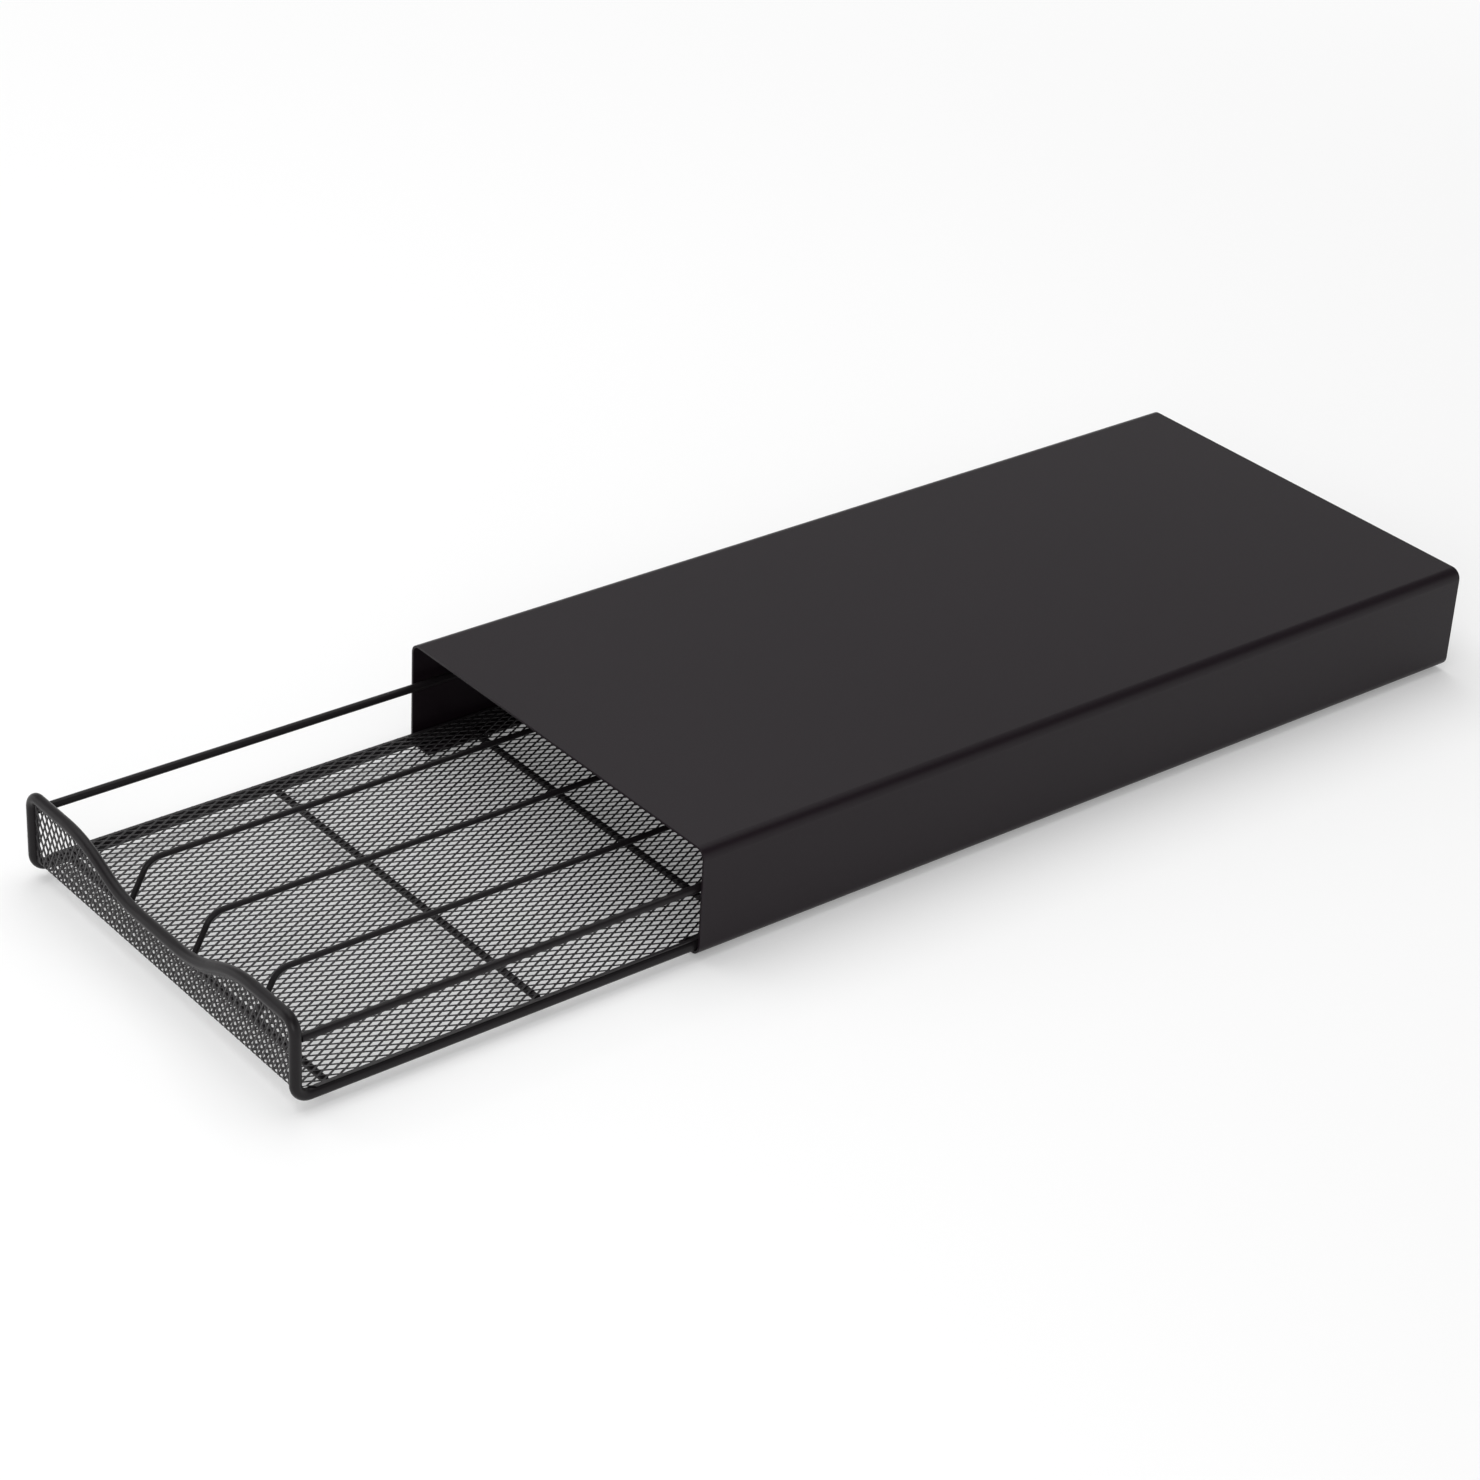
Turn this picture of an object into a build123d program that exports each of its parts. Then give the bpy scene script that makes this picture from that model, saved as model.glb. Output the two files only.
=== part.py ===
from build123d import *
import math
import os

# A wire-and-mesh drawer in a folded sheet-steel cover. The cover is open at the front and the
# back, an appliance stands on its deck, and the drawer's bottom rails slide on its inturned
# flanges. All sizes are in millimetres. +X is the right-hand side seen from the front, the
# drawer pulls out towards -Y, and +Z is up. The origin lies on the table, under the middle of
# the whole with the drawer pulled out by drawer_out.

# ---------------------------------------------------------------- driving sizes: cover
cover_width = 200.0         # outside, across the two side walls
cover_length = 430.0
cover_height = 49.0         # outside, flanges to deck
sheet = 1.0                 # steel sheet of the cover
deck_bend = 4.8             # outside radius between the deck and a side wall
flange_bend = 4.8           # outside radius between a side wall and its flange
flange_width = 13.0         # inturned flange that a bottom rail rides on, outside size

# ---------------------------------------------------------------- driving sizes: feet and stops
foot_height = 2.0
foot_margin = 0.8           # from a foot's rim to the edges of the flange's flat
foot_inset = 30.0           # from an end of the cover to a foot's middle
bar_sheet = 1.2             # folded bar at the back that stops the shut drawer
bar_depth = 12.0
bar_height = 14.0
bar_bend = 2.4              # outside radius of its fold
bar_setback = 1.0           # from the back edge of the cover
catch_sheet = 1.2           # folded tabs under the deck that stop the open drawer
catch_width = 16.0
catch_depth = 12.0
catch_bend = 2.2            # outside radius of their fold
catch_inset = 12.0          # from the side wall to a catch
catch_setback = 45.0        # from the front edge of the cover to a catch's working face
catch_clearance = 2.1       # from the front wire's shoulders up to a catch

# ---------------------------------------------------------------- driving sizes: drawer
frame_wire = 4.8            # diameter of the two hoops
side_wire = 3.5             # diameter of the upper side rails
divider_wire = 2.5
floor_wire = 3.0
side_gap = 1.1              # hoops to side walls
ride_gap = 0.3              # bottom rails to flanges
stop_gap = 0.4              # back hoop to the bar, or to the catches, at either end of the travel
drawer_out = 183.0          # from the front edge of the cover to the middle of the front hoop
corner_radius = 6.0         # corners of the hoops, to the middle of the wire
front_headroom = 8.1        # deck to the front wire's shoulders
back_headroom = 3.5         # deck to the back wire
side_drop = 8.0             # from the middle of the shoulders to the middle of the side rails

# Wave in the front wire: high shoulders, and a low middle to hook a finger over.
dip_half = 26.0
dip_run = 30.0
dip_depth = 12.8
wave_fill = 0.75            # share of each slope that is curved

# Liner of expanded metal: floor, front panel and back panel in one folded sheet.
mesh_sheet = 0.8
mesh_bend = 1.6             # its folds, to the middle of the sheet
mesh_strand = 2.4
mesh_rim = 1.6
mesh_overlap = 1.2          # floor edge past the middle of a bottom rail
corner_margin = 2.0         # from the bend of a bottom rail to the wide part of the floor
row_columns = 2             # columns of gaps to a row
floor_rows = 7              # floor gaps between a divider's two feet
panel_pitch = 26.0          # height of a panel gap with its strand
panel_rows = 3
least_gap = 6.0             # a cut gap with a smaller area is left closed

# Dividers: low bent wires between the rows, and the wires under the floor.
row_count = 4
divider_rise = 17.5         # top of the mesh to the middle of the wire
divider_foot = 14.5         # from a hoop to a foot
divider_run = 9.0           # how far a leg leans towards the middle
divider_bend = 8.0
floor_wires = 5

# ---------------------------------------------------------------- places that follow
frame_r = frame_wire / 2
deck_low_z = foot_height + cover_height - sheet
flange_z = foot_height + sheet
wall_x = cover_width / 2 - sheet
rail_x = wall_x - side_gap - frame_r
rail_z = flange_z + ride_gap + frame_r

front_y = (drawer_out + frame_r - cover_length) / 2
back_y = front_y + cover_length
hoop_y = front_y - drawer_out
bar_y = back_y - bar_setback - bar_depth
travel_shut = drawer_out + frame_r
back_hoop_y = bar_y - stop_gap - frame_r - travel_shut
catch_y = front_y + catch_setback
travel_open = back_hoop_y - frame_r - stop_gap - catch_y

shoulder_z = deck_low_z - front_headroom - frame_r
back_wire_z = deck_low_z - back_headroom - frame_r
side_z = shoulder_z - side_drop
catch_low_z = shoulder_z + frame_r + catch_clearance

dip_z = shoulder_z - dip_depth
slope = math.hypot(dip_run, dip_depth)
wave_radius = wave_fill * slope / 2 / math.tan(math.atan2(dip_depth, dip_run) / 2)

mesh_low_z = rail_z + frame_r
mesh_mid_z = mesh_low_z + mesh_sheet / 2
mesh_top_z = mesh_low_z + mesh_sheet
panel_low_z = mesh_mid_z + 2 * mesh_bend
fold_length = 2 * mesh_bend + mesh_rim
panel_half = rail_x - frame_r
row_pitch = 2 * panel_half / row_count
front_foot_y = hoop_y + divider_foot
back_foot_y = back_hoop_y - divider_foot
columns = row_count * row_columns
column_pitch = row_pitch / row_columns
floor_pitch = (back_foot_y - front_foot_y) / floor_rows
floor_mid_y = (hoop_y + back_hoop_y) / 2
floor_length = back_hoop_y - hoop_y

# Corners of the two hoops in their own planes, from the left bottom rail to the right one: the
# front hoop runs on into the rails, and the back hoop stands on them.
front_corners = [
    (-rail_x, rail_z),
    (-rail_x, shoulder_z),
    (-dip_half - dip_run, shoulder_z),
    (-dip_half, dip_z),
    (dip_half, dip_z),
    (dip_half + dip_run, shoulder_z),
    (rail_x, shoulder_z),
    (rail_x, rail_z),
]
front_radii = [corner_radius] + 4 * [wave_radius] + [corner_radius]
back_corners = [
    (-rail_x, mesh_low_z),
    (-rail_x, back_wire_z),
    (rail_x, back_wire_z),
    (rail_x, mesh_low_z),
]
back_radii = 2 * [corner_radius]


def panel_outline(corners, radii, border):
    # What a hoop frames above the fold of the mesh, less a border along the wire's middle.
    low = [(corners[0][0], panel_low_z)]
    high = [(corners[-1][0], panel_low_z)]
    with BuildSketch() as outline:
        with BuildLine():
            wire_line = FilletPolyline(*low, *corners[1:-1], *high, radius=radii)
            Line(wire_line @ 1, wire_line @ 0)
        make_face()
        trace(wire_line, line_width=2 * border, mode=Mode.SUBTRACT)
    return outline.sketch


def gap_points(pitch_x, pitch_y):
    # One gap of the mesh: the rhombus of the lattice, drawn in by half a strand all round.
    inner_radius = pitch_x * pitch_y / 2 / math.hypot(pitch_x, pitch_y)
    scale = 1 - mesh_strand / 2 / inner_radius
    half_x = pitch_x / 2 * scale
    half_y = pitch_y / 2 * scale
    return [(half_x, 0), (0, half_y), (-half_x, 0), (0, -half_y)]


def panel_gaps(corners, radii):
    with BuildSketch() as gaps:
        for row in range(panel_rows):
            with Locations((0, panel_low_z + row * panel_pitch / 2)):
                with GridLocations(column_pitch, panel_pitch, columns - (row + 1) % 2, 1):
                    Polygon(*gap_points(column_pitch, panel_pitch))
        add(panel_outline(corners, radii, frame_r + mesh_rim), mode=Mode.INTERSECT)
    return gaps.faces().filter_by(lambda gap: gap.area > least_gap)


os.makedirs("parts", exist_ok=True)

# ---------------------------------------------------------------- cover
with BuildPart() as cover_shell:
    with BuildSketch(Plane.XZ.offset(-front_y)):
        with BuildLine():
            FilletPolyline(
                (cover_width / 2 - flange_width, foot_height),
                (cover_width / 2, foot_height),
                (cover_width / 2, foot_height + cover_height),
                (-cover_width / 2, foot_height + cover_height),
                (-cover_width / 2, foot_height),
                (-cover_width / 2 + flange_width, foot_height),
                radius=[flange_bend, deck_bend, deck_bend, flange_bend],
            )
            offset(amount=sheet, side=Side.LEFT)
        make_face()
    extrude(amount=-cover_length)
cover_shell.part.label = "cover_shell"
export_step(cover_shell.part, "parts/cover_shell.step")

# Angle across the flanges, spot-welded on them, its upright towards the drawer.
with BuildPart() as stop_bar:
    with BuildSketch(Plane.YZ):
        with BuildLine():
            FilletPolyline(
                (bar_y, flange_z + bar_height),
                (bar_y, flange_z),
                (bar_y + bar_depth, flange_z),
                radius=bar_bend,
            )
            offset(amount=bar_sheet, side=Side.LEFT)
        make_face()
    extrude(amount=cover_width / 2 - flange_bend, both=True)
stop_bar.part.label = "stop_bar"
export_step(stop_bar.part, "parts/stop_bar.step")

# Tabs welded under the deck: the back wire of the drawer meets them when it is pulled out.
for side, name in ((-1, "left_catch"), (1, "right_catch")):
    catch_x = side * (wall_x - catch_inset - catch_width / 2)
    with BuildPart() as catch:
        with BuildSketch(Plane.YZ.offset(catch_x)):
            with BuildLine():
                FilletPolyline(
                    (catch_y - catch_depth, deck_low_z),
                    (catch_y, deck_low_z),
                    (catch_y, catch_low_z),
                    radius=catch_bend,
                )
                offset(amount=catch_sheet, side=Side.RIGHT)
            make_face()
        extrude(amount=catch_width / 2, both=True)
    catch.part.label = name
    export_step(catch.part, f"parts/{name}.step")

# Rubber feet on the flats of the flanges.
foot_radius = (flange_width - flange_bend) / 2 - foot_margin
foot_x = cover_width / 2 - (flange_width + flange_bend) / 2
for side, side_name in ((-1, "left"), (1, "right")):
    for y, end_name in ((front_y + foot_inset, "front"), (back_y - foot_inset, "rear")):
        name = f"{end_name}_{side_name}_foot"
        with BuildPart() as foot:
            with BuildSketch():
                with Locations((side * foot_x, y)):
                    Circle(foot_radius)
            extrude(amount=foot_height)
        foot.part.label = name
        export_step(foot.part, f"parts/{name}.step")

# ---------------------------------------------------------------- drawer frame
# One wire: left bottom rail, left post, wavy front wire, right post, right bottom rail.
rail_end_y = back_hoop_y + frame_r
with BuildPart() as front_hoop:
    with BuildLine() as front_line:
        FilletPolyline(
            (-rail_x, rail_end_y, rail_z),
            *[(x, hoop_y, z) for x, z in front_corners],
            (rail_x, rail_end_y, rail_z),
            radius=[corner_radius] + front_radii + [corner_radius],
        )
    with BuildSketch(Plane(origin=front_line.line @ 0, z_dir=front_line.line % 0)):
        Circle(frame_r)
    sweep()
front_hoop.part.label = "front_hoop"
export_step(front_hoop.part, "parts/front_hoop.step")

# One wire: two posts that stand on the ends of the bottom rails, and the back wire.
with BuildPart() as back_hoop:
    with BuildLine() as back_line:
        FilletPolyline(*[(x, back_hoop_y, z) for x, z in back_corners], radius=back_radii)
    with BuildSketch(Plane(origin=back_line.line @ 0, z_dir=back_line.line % 0)):
        Circle(frame_r)
    sweep()
back_hoop.part.label = "back_hoop"
export_step(back_hoop.part, "parts/back_hoop.step")

# Upper side rails, butted between the posts of the two hoops.
for side, name in ((-1, "left_side_rail"), (1, "right_side_rail")):
    with BuildPart() as side_rail:
        with BuildSketch(Plane.XZ.offset(-hoop_y - frame_r)):
            with Locations((side * rail_x, side_z)):
                Circle(side_wire / 2)
        extrude(amount=frame_wire - floor_length)
    side_rail.part.label = name
    export_step(side_rail.part, f"parts/{name}.step")

# Straight wires under the mesh, butted between the bottom rails.
for count in range(floor_wires):
    name = f"floor_wire_{count + 1}"
    wire_y = front_foot_y + count * (back_foot_y - front_foot_y) / (floor_wires - 1)
    with BuildPart() as cross_wire:
        with BuildSketch(Plane.YZ):
            with Locations((wire_y, mesh_low_z - floor_wire / 2)):
                Circle(floor_wire / 2)
        extrude(amount=panel_half, both=True)
    cross_wire.part.label = name
    export_step(cross_wire.part, f"parts/{name}.step")

# ---------------------------------------------------------------- drawer liner and dividers
with BuildPart() as mesh_liner:
    # Floor between the folds, wider where it lies on the straight of the bottom rails, with a
    # strand crossing under each divider foot.
    with BuildSketch(Plane.XY.offset(mesh_low_z)):
        with Locations((0, floor_mid_y)):
            Rectangle(2 * panel_half, floor_length - 2 * fold_length)
            Rectangle(
                2 * (rail_x + mesh_overlap),
                floor_length - 2 * (corner_radius + corner_margin),
            )
            with GridLocations(column_pitch, floor_pitch, columns, floor_rows + 1):
                Polygon(*gap_points(column_pitch, floor_pitch), mode=Mode.SUBTRACT)
            with GridLocations(column_pitch, floor_pitch, columns - 1, floor_rows):
                Polygon(*gap_points(column_pitch, floor_pitch), mode=Mode.SUBTRACT)
    extrude(amount=mesh_sheet)
    for corners, radii, y, inward in (
        (front_corners, front_radii, hoop_y, 1),
        (back_corners, back_radii, back_hoop_y, -1),
    ):
        # Fold between the floor and a panel.
        with BuildSketch(Plane.YZ):
            with BuildLine():
                FilletPolyline(
                    (y, panel_low_z),
                    (y, mesh_mid_z),
                    (y + inward * fold_length, mesh_mid_z),
                    radius=mesh_bend,
                )
            trace(line_width=mesh_sheet)
        extrude(amount=panel_half, both=True)
        # Panel inside the hoop.
        with BuildSketch(Plane.XZ.offset(-y)):
            add(panel_outline(corners, radii, frame_r))
            add(panel_gaps(corners, radii), mode=Mode.SUBTRACT)
        extrude(amount=mesh_sheet / 2, both=True)
mesh_liner.part.label = "mesh_liner"
export_step(mesh_liner.part, "parts/mesh_liner.step")

# Bent wires between the rows, their feet cut level on the mesh.
for count in range(row_count - 1):
    name = f"row_divider_{count + 1}"
    x = (count + 1) * row_pitch - panel_half
    top_z = mesh_top_z + divider_rise
    tail = divider_run / divider_rise * divider_wire
    with BuildPart() as divider:
        with BuildLine() as divider_line:
            FilletPolyline(
                (x, front_foot_y - tail, mesh_top_z - divider_wire),
                (x, front_foot_y + divider_run, top_z),
                (x, back_foot_y - divider_run, top_z),
                (x, back_foot_y + tail, mesh_top_z - divider_wire),
                radius=divider_bend,
            )
        with BuildSketch(Plane(origin=divider_line.line @ 0, z_dir=divider_line.line % 0)):
            Circle(divider_wire / 2)
        sweep()
        split(bisect_by=Plane.XY.offset(mesh_top_z), keep=Keep.TOP)
    divider.part.label = name
    export_step(divider.part, f"parts/{name}.step")

print(f"drawer slides {travel_shut:.2f} mm back and {travel_open:.2f} mm on from here")
print(f"whole length {back_y - hoop_y + frame_r:.2f} mm, wave radius {wave_radius:.2f} mm")
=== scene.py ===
import math

import bmesh
import bpy
from mathutils import Matrix, Vector


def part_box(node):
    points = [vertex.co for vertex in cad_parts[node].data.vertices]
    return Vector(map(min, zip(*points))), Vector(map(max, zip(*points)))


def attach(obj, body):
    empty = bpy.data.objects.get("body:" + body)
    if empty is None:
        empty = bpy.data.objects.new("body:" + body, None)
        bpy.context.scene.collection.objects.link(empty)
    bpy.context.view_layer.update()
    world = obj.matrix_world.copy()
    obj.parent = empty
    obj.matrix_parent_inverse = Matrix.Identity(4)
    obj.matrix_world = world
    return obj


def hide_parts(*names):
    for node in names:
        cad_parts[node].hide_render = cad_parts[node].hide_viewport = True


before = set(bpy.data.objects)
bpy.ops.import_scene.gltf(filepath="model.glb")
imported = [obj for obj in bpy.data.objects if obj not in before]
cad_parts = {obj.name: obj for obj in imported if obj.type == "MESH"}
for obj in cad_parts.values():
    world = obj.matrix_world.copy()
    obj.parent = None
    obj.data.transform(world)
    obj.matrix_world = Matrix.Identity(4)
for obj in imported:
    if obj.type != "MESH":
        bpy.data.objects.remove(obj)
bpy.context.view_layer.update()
scene = bpy.context.scene
MM = 0.001

# ---------------------------------------------------------------- sizes, in millimetres
# Wires of the drawer, to the middle of each, from the boxes of the solids.
hoop_low, hoop_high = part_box("front_hoop")
back_low, back_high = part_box("back_hoop")
liner_low, liner_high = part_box("mesh_liner")
WIRE_R = (back_high.y - back_low.y) / MM / 2
RAIL_X = hoop_high.x / MM - WIRE_R
SHOULDER_Z = hoop_high.z / MM - WIRE_R
BACK_TOP_Z = back_high.z / MM - WIRE_R
HOOP_Y = hoop_low.y / MM + WIRE_R
BACK_Y = back_high.y / MM - WIRE_R
# Bends of the hoops and the front wire's wave, as in the solids.
CORNER_R = 6.0
CORNER_MARGIN = 2.0         # from the bend of a bottom rail to the wide part of the floor
DIP_HALF = 26.0             # half of the wave's low middle
DIP_RUN = 30.0              # from there to a shoulder
DIP_DEPTH = 12.8
WAVE_FILL = 0.75            # share of each slope that is curved

# Expanded metal: one lattice over the whole folded sheet.
SHEET = 0.4                 # thickness of a strand
TILT = 0.15                 # how far the crossings stand out of the sheet
PITCH_U = 3.65              # short way, across the drawer
PITCH_V = 7.2               # long way, along the drawer and up the panels
STRAND = 0.65               # width of a strand
SPARE_CELLS = 3             # cells laid out past each edge, which held() brings back
LEAST_AREA = 0.02           # strands that an edge cuts smaller than this are left out
MERGE = 0.01                # points nearer to each other than this are one
ON_CUT = 1e-4               # points nearer to a cut than this are on it
SOLID_SHEET = 0.8           # thickness of the solid liner, which the net replaces
FOLD_R = 1.6                # folds, to the middle of the sheet
FOLD_CUTS = 4               # flat steps in a fold
ARC = math.pi / 2 * FOLD_R  # length of a fold
FLOOR_Z = liner_low.z / MM + SOLID_SHEET / 2
FLOOR_LENGTH = BACK_Y - HOOP_Y - 2 * FOLD_R
PANEL_FOOT_Z = FLOOR_Z + FOLD_R
EDGE_X = liner_high.x / MM  # long edges of the floor, on the bottom rails
WIDE_START = CORNER_R + CORNER_MARGIN - FOLD_R
PANEL_INSET = 1.2
INSET_X = RAIL_X - PANEL_INSET      # edges of the panels, inside the posts
HEM = 1.5                   # plain strip of a panel below a wire, and of the floor on a rail
POST_STEPS, WIRE_STEPS, RAIL_STEPS = 8, 96, 24      # quads of such a strip


# ---------------------------------------------------------------- materials
def remapped(tree, value, source, target, kind="LINEAR"):
    """The value taken from the range source to the range target, and held at its ends."""
    node = tree.nodes.new("ShaderNodeMapRange")
    node.interpolation_type = kind
    for name, number in zip(("From Min", "From Max", "To Min", "To Max"), source + target):
        node.inputs[name].default_value = number
    tree.links.new(value, node.inputs["Value"])
    return node.outputs["Result"]


def combined(tree, operation, first, second, clamp=False):
    """Two values added or multiplied."""
    node = tree.nodes.new("ShaderNodeMath")
    node.operation = operation
    node.use_clamp = clamp
    tree.links.new(first, node.inputs[0])
    tree.links.new(second, node.inputs[1])
    return node.outputs[0]


CLOUD_SCALE, CLOUD_DETAIL = 14.0, 2.0       # slow changes of tone, so many to a metre
GRAIN_DETAIL = 3.0
TONE_NOISE = (0.7, 1.3)     # span of cloud and grain together over which the tone changes
GLOSS_NOISE = (0.3, 0.7)    # span of the grain over which the gloss changes
GLOSS_SPREAD = 0.05         # of the roughness, either way
BUMP_STRENGTH = 0.5


def coat(name, base, spread, rough, grain_mm, grain_depth, specular):
    """Powder coat: fine orange peel, grain_depth millimetres deep, with slow and fine changes
    of tone, by spread either way, and of gloss."""
    mat = bpy.data.materials.new(name)
    mat.use_nodes = True
    tree = mat.node_tree
    tree.nodes.clear()
    link = tree.links.new
    out = tree.nodes.new("ShaderNodeOutputMaterial")
    shader = tree.nodes.new("ShaderNodeBsdfPrincipled")
    link(shader.outputs["BSDF"], out.inputs["Surface"])
    shader.inputs["Specular IOR Level"].default_value = specular
    place = tree.nodes.new("ShaderNodeTexCoord")

    def noise(scale, detail):
        node = tree.nodes.new("ShaderNodeTexNoise")
        node.inputs["Scale"].default_value = scale
        node.inputs["Detail"].default_value = detail
        link(place.outputs["Object"], node.inputs["Vector"])
        return node.outputs["Fac"]

    cloud = noise(CLOUD_SCALE, CLOUD_DETAIL)
    grain = noise(1 / (grain_mm * MM), GRAIN_DETAIL)
    tone = tree.nodes.new("ShaderNodeMix")
    tone.data_type = "RGBA"
    tone.inputs["A"].default_value = [c * (1 - spread) for c in base] + [1]
    tone.inputs["B"].default_value = [c * (1 + spread) for c in base] + [1]
    both = combined(tree, "ADD", cloud, grain)
    link(remapped(tree, both, TONE_NOISE, (0.0, 1.0)), tone.inputs["Factor"])
    link(tone.outputs["Result"], shader.inputs["Base Color"])
    gloss = remapped(tree, grain, GLOSS_NOISE, (rough - GLOSS_SPREAD, rough + GLOSS_SPREAD))
    link(gloss, shader.inputs["Roughness"])
    bump = tree.nodes.new("ShaderNodeBump")
    bump.inputs["Strength"].default_value = BUMP_STRENGTH
    bump.inputs["Distance"].default_value = grain_depth * MM
    link(grain, bump.inputs["Height"])
    link(bump.outputs["Normal"], shader.inputs["Normal"])
    return mat


COVER = coat("cover_coat", (0.0082, 0.0045, 0.0070), 0.06, 0.40, 0.60, 0.035, 0.20)
WIRE = coat("wire_coat", (0.0095, 0.0080, 0.0090), 0.10, 0.36, 0.35, 0.015, 0.18)
MESH = coat("mesh_coat", (0.0140, 0.0120, 0.0135), 0.12, 0.40, 0.30, 0.015, 0.45)
RUBBER = coat("foot_rubber", (0.010, 0.010, 0.010), 0.15, 0.75, 0.20, 0.02, 0.20)

for node_name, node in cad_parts.items():
    if node_name.endswith("_foot"):
        finish = RUBBER
    elif node_name in ("cover_shell", "stop_bar", "left_catch", "right_catch"):
        finish = COVER
    elif node_name == "mesh_liner":
        finish = MESH
    else:
        finish = WIRE
    node.data.materials.clear()
    node.data.materials.append(finish)


# ---------------------------------------------------------------- expanded metal
def wave_height(x):
    """Middle of the front wire at x, in its own plane."""
    x = abs(x)
    if x > RAIL_X - CORNER_R:
        over = min(x - (RAIL_X - CORNER_R), CORNER_R)
        return SHOULDER_Z - CORNER_R + math.sqrt(CORNER_R ** 2 - over ** 2)
    turn = math.atan2(DIP_DEPTH, DIP_RUN)
    radius = WAVE_FILL * math.hypot(DIP_RUN, DIP_DEPTH) / 2 / math.tan(turn / 2)
    reach = radius * math.tan(turn / 2)
    low_z = SHOULDER_Z - DIP_DEPTH
    low_x, low_end = DIP_HALF - reach, DIP_HALF + reach * math.cos(turn)
    high_x, high_end = DIP_HALF + DIP_RUN + reach, DIP_HALF + DIP_RUN - reach * math.cos(turn)
    if x < low_x:
        return low_z
    if x < low_end:
        return low_z + radius - math.sqrt(radius ** 2 - (x - low_x) ** 2)
    if x < high_end:
        return low_z + (x - DIP_HALF) * math.tan(turn)
    if x < high_x:
        return SHOULDER_Z - radius + math.sqrt(radius ** 2 - (high_x - x) ** 2)
    return SHOULDER_Z


def back_height(x):
    """Middle of the back wire at x, in its own plane."""
    over = min(max(abs(x) - (RAIL_X - CORNER_R), 0.0), CORNER_R)
    return BACK_TOP_Z - CORNER_R + math.sqrt(CORNER_R ** 2 - over ** 2)


def folded(u, v, w):
    """Place of a point of the flat sheet: v is 0 where the front fold meets the floor."""
    if v > FLOOR_LENGTH / 2:
        x, y, z = folded(u, FLOOR_LENGTH - v, w)
        return x, HOOP_Y + BACK_Y - y, z
    if v >= 0:
        return u, HOOP_Y + FOLD_R + v, FLOOR_Z + w
    if v > -ARC:
        turn = -v / FOLD_R
        radius = FOLD_R - w
        return (u, HOOP_Y + FOLD_R - radius * math.sin(turn),
                FLOOR_Z + FOLD_R - radius * math.cos(turn))
    return u, HOOP_Y + w, PANEL_FOOT_Z - v - ARC


def sheet_end(u, back):
    """Where the sheet ends beyond the floor, past the fold, in the middle of the wire."""
    top = back_height(u) if back else wave_height(u)
    return ARC + top - PANEL_FOOT_Z


def held(u, v):
    """The point of the sheet nearest to u, v: inside the posts, on the rails, under the wires."""
    side = EDGE_X if WIDE_START < v < FLOOR_LENGTH - WIDE_START else INSET_X
    u = max(-side, min(side, u))
    v = max(-sheet_end(u, False), min(FLOOR_LENGTH + sheet_end(u, True), v))
    return u, v


def expanded_metal():
    """The net: a quad for each strand and one for each crossing, between the gaps."""
    # The gaps are the lattice's own rhombi, smaller all round by half a strand.
    side_distance = PITCH_U * PITCH_V / 2 / math.hypot(PITCH_U, PITCH_V)
    scale = 1 - STRAND / 2 / side_distance
    half_u, half_v = PITCH_U / 2 * scale, PITCH_V / 2 * scale
    corners = {"R": (half_u, 0, 0), "T": (0, half_v, TILT),
               "L": (-half_u, 0, 0), "B": (0, -half_v, -TILT)}
    row = PITCH_V / 2
    first = -int(sheet_end(RAIL_X - 2 * CORNER_R, False) / row) - SPARE_CELLS
    last = int((FLOOR_LENGTH + sheet_end(0, True)) / row) + SPARE_CELLS
    count = int(EDGE_X / PITCH_U) + SPARE_CELLS
    net = bmesh.new()
    made = {}

    def flat(i, j, corner):
        du, dv, dw = corners[corner]
        return (i + 0.5 * (j % 2)) * PITCH_U + du, j * PITCH_V / 2 + dv, dw

    def quad(*keys):
        points = [flat(*key) for key in keys]
        places = [held(u, v) for u, v, w in points]
        area = sum(a[0] * b[1] - b[0] * a[1]
                   for a, b in zip(places, places[1:] + places[:1])) / 2
        if abs(area) < LEAST_AREA:
            return
        loop = []
        for key, (u, v), (_, _, w) in zip(keys, places, points):
            if key not in made:
                made[key] = net.verts.new((u, v, w))
            loop.append(made[key])
        net.faces.new(loop if area > 0 else loop[::-1])

    for j in range(first, last):
        odd = j % 2
        for i in range(-count, count):
            right_up, left_up = i + odd, i + odd - 1
            quad((i, j, "R"), (right_up, j + 1, "B"), (right_up, j + 1, "L"), (i, j, "T"))
            quad((i, j, "L"), (i, j, "T"), (left_up, j + 1, "R"), (left_up, j + 1, "B"))
            quad((i, j, "R"), (right_up, j - 1, "T"), (i + 1, j, "L"), (right_up, j + 1, "B"))
    return net


def strip(net, outer, inner, flip):
    """A row of quads between two lines of points."""
    for k in range(len(outer) - 1):
        loop = [outer[k], outer[k + 1], inner[k + 1], inner[k]]
        net.faces.new(loop[::-1] if flip else loop)


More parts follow.
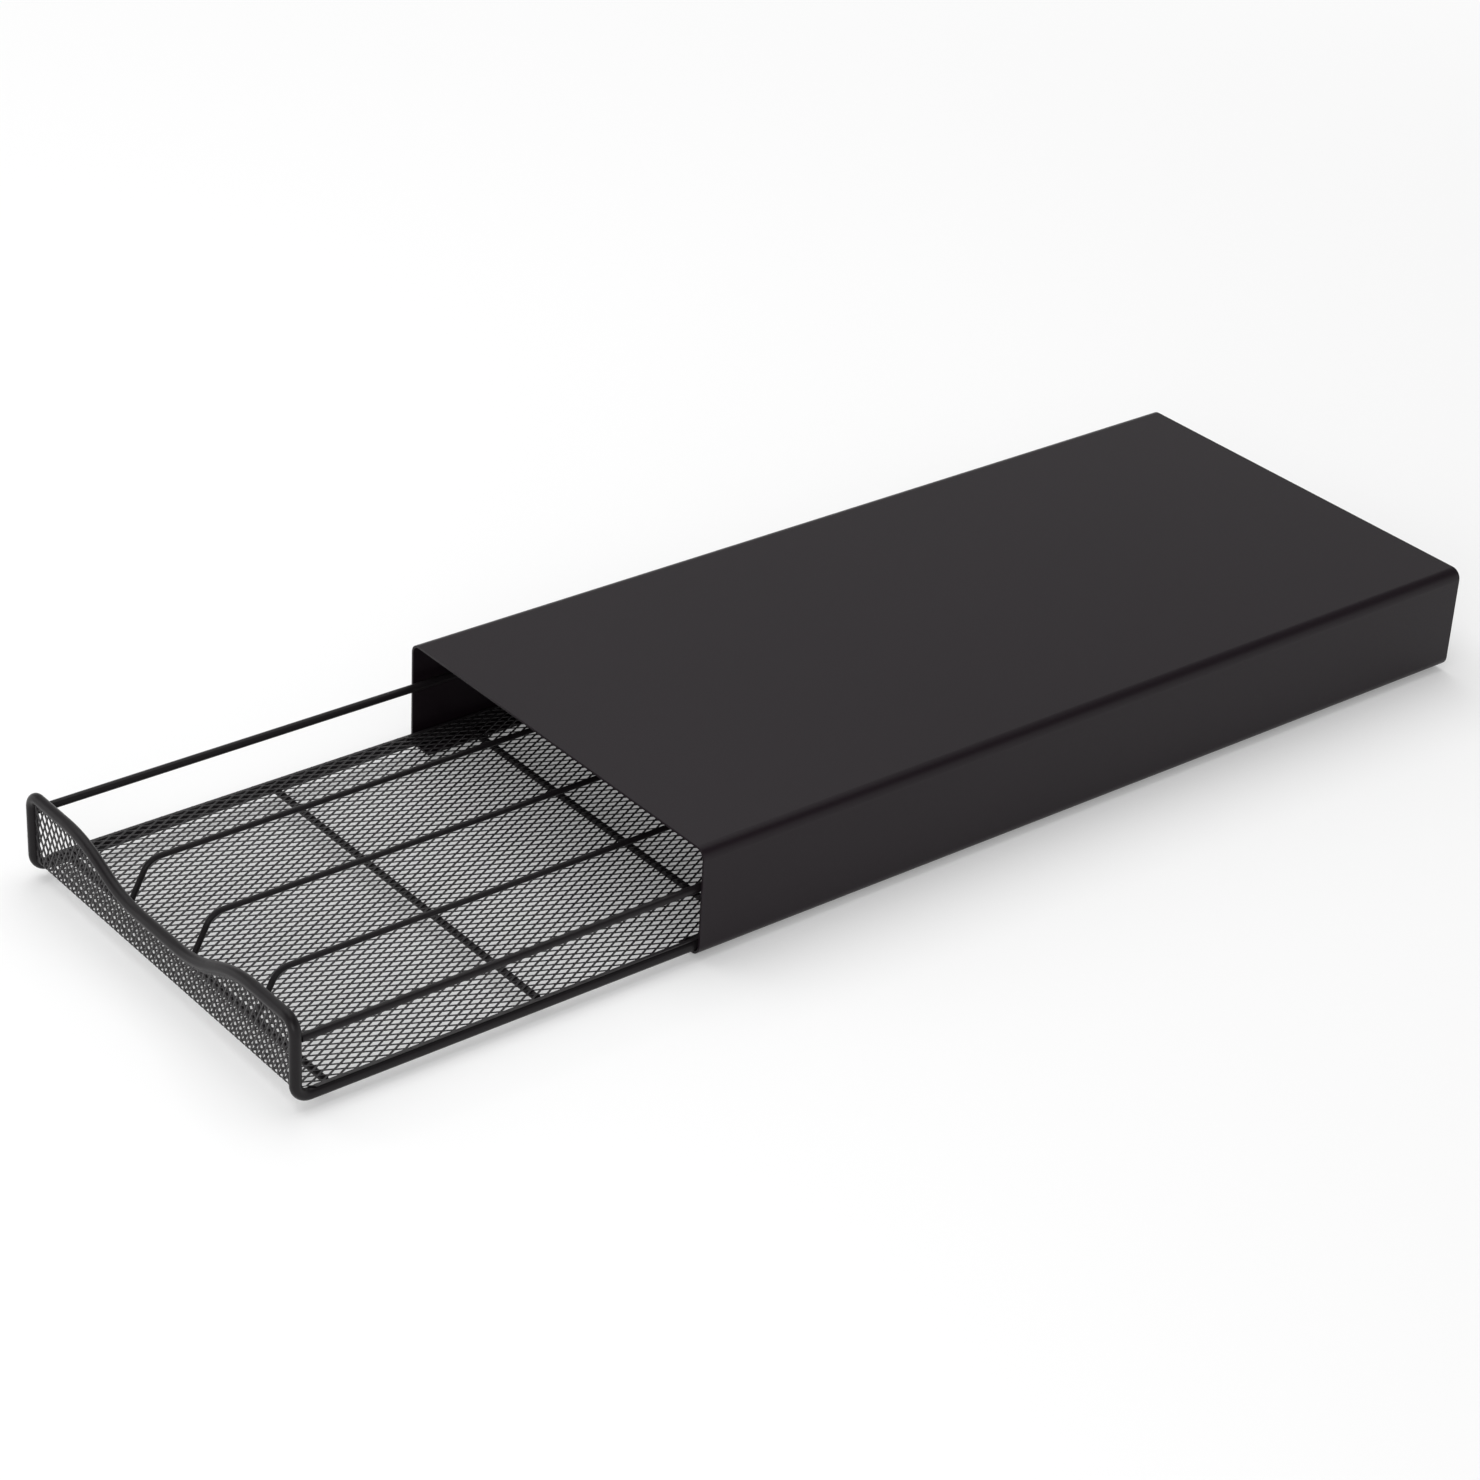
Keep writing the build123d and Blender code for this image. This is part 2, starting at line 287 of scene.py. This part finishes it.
def hem(net, back):
    """Plain edge of a panel: a strip that runs up one post, along under the wire and down."""
    foot = ARC / 2
    bound = RAIL_X - WIRE_R - HEM
    outer, inner = [], []
    for k in range(POST_STEPS):
        for line, side, drop in ((outer, INSET_X, 0), (inner, bound, WIRE_R + HEM)):
            rise = sheet_end(side, back) - drop - foot
            line.append((-side, foot + rise * (k / POST_STEPS)))
    for k in range(WIRE_STEPS + 1):
        u = -INSET_X + 2 * INSET_X * k / WIRE_STEPS
        outer.append((u, sheet_end(u, back)))
        u = max(-bound, min(bound, u))
        inner.append((u, sheet_end(u, back) - WIRE_R - HEM))
    for line in (outer, inner):
        line.extend([(-u, v) for u, v in reversed(line[:POST_STEPS])])
        line[:] = [net.verts.new((u, FLOOR_LENGTH + v if back else -v, 0)) for u, v in line]
    strip(net, outer, inner, not back)


def long_edge(net, side):
    """Plain long edge of the floor, straight along the top of a bottom rail."""
    run = FLOOR_LENGTH - 2 * WIDE_START
    pairs = []
    for k in range(RAIL_STEPS + 1):
        v = WIDE_START + run * k / RAIL_STEPS
        pairs.append([net.verts.new((side * u, v, 0)) for u in (EDGE_X, EDGE_X - HEM)])
    outer, inner = zip(*pairs)
    strip(net, outer, inner, side < 0)


net = expanded_metal()
hem(net, False)
hem(net, True)
long_edge(net, -1)
long_edge(net, 1)
# Cuts across the strands in the folds, so that they bend round.
for end, way in ((0.0, -1), (FLOOR_LENGTH, 1)):
    for k in range(FOLD_CUTS + 1):
        cut = end + way * ARC * k / FOLD_CUTS
        bmesh.ops.bisect_plane(net, geom=net.verts[:] + net.edges[:] + net.faces[:],
                               plane_co=(0, cut, 0), plane_no=(0, 1, 0), dist=ON_CUT)
bmesh.ops.remove_doubles(net, verts=net.verts[:], dist=MERGE)
bmesh.ops.dissolve_degenerate(net, edges=net.edges[:], dist=MERGE)
# Single strands that a panel's rounded corner cuts off from the net.
loose = [face for face in net.faces if all(len(edge.link_faces) == 1 for edge in face.edges)]
bmesh.ops.delete(net, geom=loose, context="FACES")
for vert in net.verts:
    vert.co = Vector(folded(*vert.co)) * MM
net.normal_update()
liner_mesh = bpy.data.meshes.new("expanded_mesh")
net.to_mesh(liner_mesh)
net.free()
liner = bpy.data.objects.new("expanded_mesh", liner_mesh)
scene.collection.objects.link(liner)
liner.data.materials.append(MESH)
thick = liner.modifiers.new("thickness", "SOLIDIFY")
thick.thickness = SHEET * MM
thick.offset = 0
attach(liner, "drawer")
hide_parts("mesh_liner")

# ---------------------------------------------------------------- stage, in metres
FLOOR_HALF = 6.0
FLOOR_TONE = 0.86
FLOOR_GLOW = 0.22           # share of white that the floor shows of itself, near the object
GLOW_NEAR, GLOW_FAR = 0.4, 1.6      # from the object's middle, as that share rises to 1
SKY_LOW, SKY_HIGH = 0.2, 0.62       # upward part of a direction, as the white sky fades
SKY_TOP = 0.04              # what is left of it overhead, in the object's reflections
FILL = 0.55                 # strength of the plain light from all sides


def background(tree, plain, glow, share=None):
    """The pale background, for the camera, in reflections and through glass: a share of glow
    over plain."""
    path = tree.nodes.new("ShaderNodeLightPath")
    seen = path.outputs["Is Camera Ray"]
    for kind in ("Is Glossy Ray", "Is Transmission Ray"):
        seen = combined(tree, "ADD", seen, path.outputs[kind], clamp=True)
    if share is not None:
        seen = combined(tree, "MULTIPLY", seen, share)
    mixed = tree.nodes.new("ShaderNodeMixShader")
    tree.links.new(seen, mixed.inputs["Fac"])
    tree.links.new(plain.outputs[0], mixed.inputs[1])
    tree.links.new(glow.outputs[0], mixed.inputs[2])
    return mixed.outputs[0]


def grey(tree, kind, tone):
    """A shader of one grey."""
    node = tree.nodes.new(kind)
    node.inputs["Color"].default_value = (tone, tone, tone, 1)
    return node


floor_mesh = bpy.data.meshes.new("floor")
grid = bmesh.new()
bmesh.ops.create_grid(grid, x_segments=2, y_segments=2, size=FLOOR_HALF)
grid.to_mesh(floor_mesh)
grid.free()
floor = bpy.data.objects.new("floor", floor_mesh)
scene.collection.objects.link(floor)

floor_mat = bpy.data.materials.new("floor_white")
floor_mat.use_nodes = True
tree = floor_mat.node_tree
tree.nodes.clear()
spot = tree.nodes.new("ShaderNodeTexCoord")
radius = tree.nodes.new("ShaderNodeVectorMath")
radius.operation = "LENGTH"
tree.links.new(spot.outputs["Object"], radius.inputs[0])
share = remapped(tree, radius.outputs["Value"], (GLOW_NEAR, GLOW_FAR), (FLOOR_GLOW, 1.0),
                 "SMOOTHSTEP")
diffuse = grey(tree, "ShaderNodeBsdfDiffuse", FLOOR_TONE)
glow = grey(tree, "ShaderNodeEmission", 1)
out = tree.nodes.new("ShaderNodeOutputMaterial")
tree.links.new(background(tree, diffuse, glow, share), out.inputs["Surface"])
floor.data.materials.append(floor_mat)

world = bpy.data.worlds.new("studio")
scene.world = world
world.use_nodes = True
tree = world.node_tree
tree.nodes.clear()
way = tree.nodes.new("ShaderNodeTexCoord")
parts = tree.nodes.new("ShaderNodeSeparateXYZ")
tree.links.new(way.outputs["Generated"], parts.inputs[0])
sky = grey(tree, "ShaderNodeBackground", 1)
tree.links.new(remapped(tree, parts.outputs["Z"], (SKY_LOW, SKY_HIGH), (1.0, SKY_TOP),
                        "SMOOTHSTEP"), sky.inputs["Strength"])
fill = grey(tree, "ShaderNodeBackground", 1)
fill.inputs["Strength"].default_value = FILL
out = tree.nodes.new("ShaderNodeOutputWorld")
tree.links.new(background(tree, fill, sky), out.inputs["Surface"])


def softbox(name, place, target, size, watts):
    """A soft lamp at place that faces target."""
    data = bpy.data.lights.new(name, "AREA")
    data.shape = "RECTANGLE"
    data.size, data.size_y = size
    data.energy = watts
    lamp = bpy.data.objects.new(name, data)
    scene.collection.objects.link(lamp)
    lamp.location = place
    lamp.rotation_euler = (Vector(target) - Vector(place)).to_track_quat("-Z", "Y").to_euler()


softbox("top_box", (-0.5, 0.0, 1.8), (0, 0, 0), (2.2, 2.2), 26)
softbox("right_box", (0.8, -1.0, 0.5), (0.1, -0.1, 0), (0.6, 0.6), 4)
softbox("left_box", (-1.1, -1.3, 0.6), (0, -0.3, 0), (1.4, 1.0), 4)

# ---------------------------------------------------------------- camera, fitted to the photograph
AZIMUTH, ELEVATION, ROLL = 49.886, 29.997, 3.421
CAMERA_MM = (1053.66, -911.40, 815.85)
FOCAL_PX, FRAME_PX, SENSOR = 3782.08, 1480, 36.0
CLIP_START, CLIP_END = 0.05, 50.0
azimuth, elevation, roll = (math.radians(x) for x in (AZIMUTH, ELEVATION, ROLL))
back = Vector((math.sin(azimuth) * math.cos(elevation),
               -math.cos(azimuth) * math.cos(elevation), math.sin(elevation)))
level = (-back).cross(Vector((0, 0, 1))).normalized()
upright = level.cross(-back)
right = math.cos(roll) * level + math.sin(roll) * upright
up = -math.sin(roll) * level + math.cos(roll) * upright
lens = bpy.data.cameras.new("camera")
lens.sensor_width = SENSOR
lens.lens = SENSOR * FOCAL_PX / FRAME_PX
lens.clip_start, lens.clip_end = CLIP_START, CLIP_END
camera = bpy.data.objects.new("camera", lens)
scene.collection.objects.link(camera)
turned = Matrix((right, up, back)).transposed().to_4x4()
camera.matrix_world = Matrix.Translation(Vector(CAMERA_MM) * MM) @ turned
scene.camera = camera

scene.view_settings.view_transform = "Standard"
